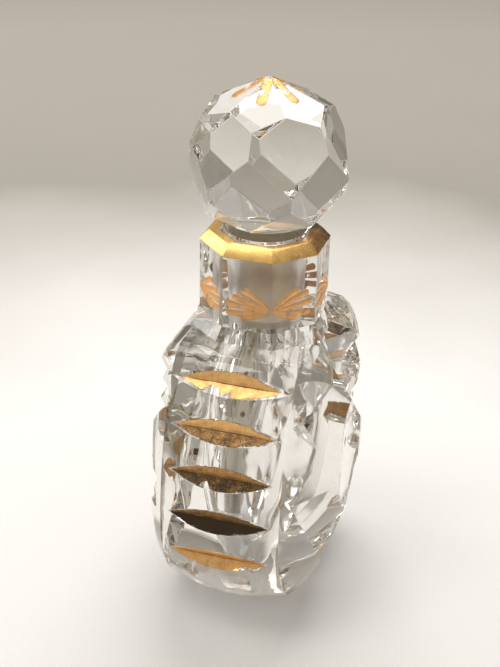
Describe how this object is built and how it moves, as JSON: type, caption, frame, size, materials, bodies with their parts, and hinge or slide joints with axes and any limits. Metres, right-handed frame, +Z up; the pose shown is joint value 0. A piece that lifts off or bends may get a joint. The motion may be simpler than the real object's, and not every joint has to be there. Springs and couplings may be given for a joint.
{
  "type": "perfume bottle",
  "caption": "Flattened cut-glass perfume bottle with an octagonal neck, a faceted ball stopper that lifts out, and fired gilding in its cuts.",
  "frame": {"origin": "on the resting plane under the middle of the base", "axes": "+Z up through the neck and stopper, X through the thin side of the body between its two broad faces, Y across its width between the two gilded narrow edges"},
  "size_m": [0.0306, 0.0462, 0.0855],
  "materials": {
    "cut_glass": "clear polished lead crystal, ground and frosted on the stopper's peg and in the bore",
    "fired_gold": "thin fired gilding, satin copper-gold with bright and worn places"
  },
  "bodies": {
    "bottle": {"bottle_glass": "cut_glass", "gilt_back_cut_1": "fired_gold", "gilt_back_cut_2": "fired_gold", "gilt_back_cut_3": "fired_gold", "gilt_back_cut_4": "fired_gold", "gilt_back_cut_5": "fired_gold", "gilt_front_cut_1": "fired_gold", "gilt_front_cut_2": "fired_gold", "gilt_front_cut_3": "fired_gold", "gilt_front_cut_4": "fired_gold", "gilt_front_cut_5": "fired_gold", "gilt_mouth_rim": "fired_gold", "gilt_neck_spray_1": "fired_gold", "gilt_neck_spray_2": "fired_gold", "gilt_neck_spray_3": "fired_gold", "gilt_neck_spray_4": "fired_gold", "gilt_neck_spray_5": "fired_gold", "gilt_neck_spray_6": "fired_gold", "gilt_neck_spray_7": "fired_gold", "gilt_neck_spray_8": "fired_gold"},
    "stopper": {"gilt_stopper_stroke_1": "fired_gold", "gilt_stopper_stroke_2": "fired_gold", "gilt_stopper_stroke_3": "fired_gold", "gilt_stopper_stroke_4": "fired_gold", "gilt_stopper_stroke_5": "fired_gold", "gilt_stopper_stroke_6": "fired_gold", "stopper_glass": "cut_glass"}
  },
  "joints": [
    {"name": "stopper_lift", "type": "slide", "parent": "bottle", "child": "stopper", "axis": [0, 0, 1], "range_m": [0, 0.03]}
  ]
}
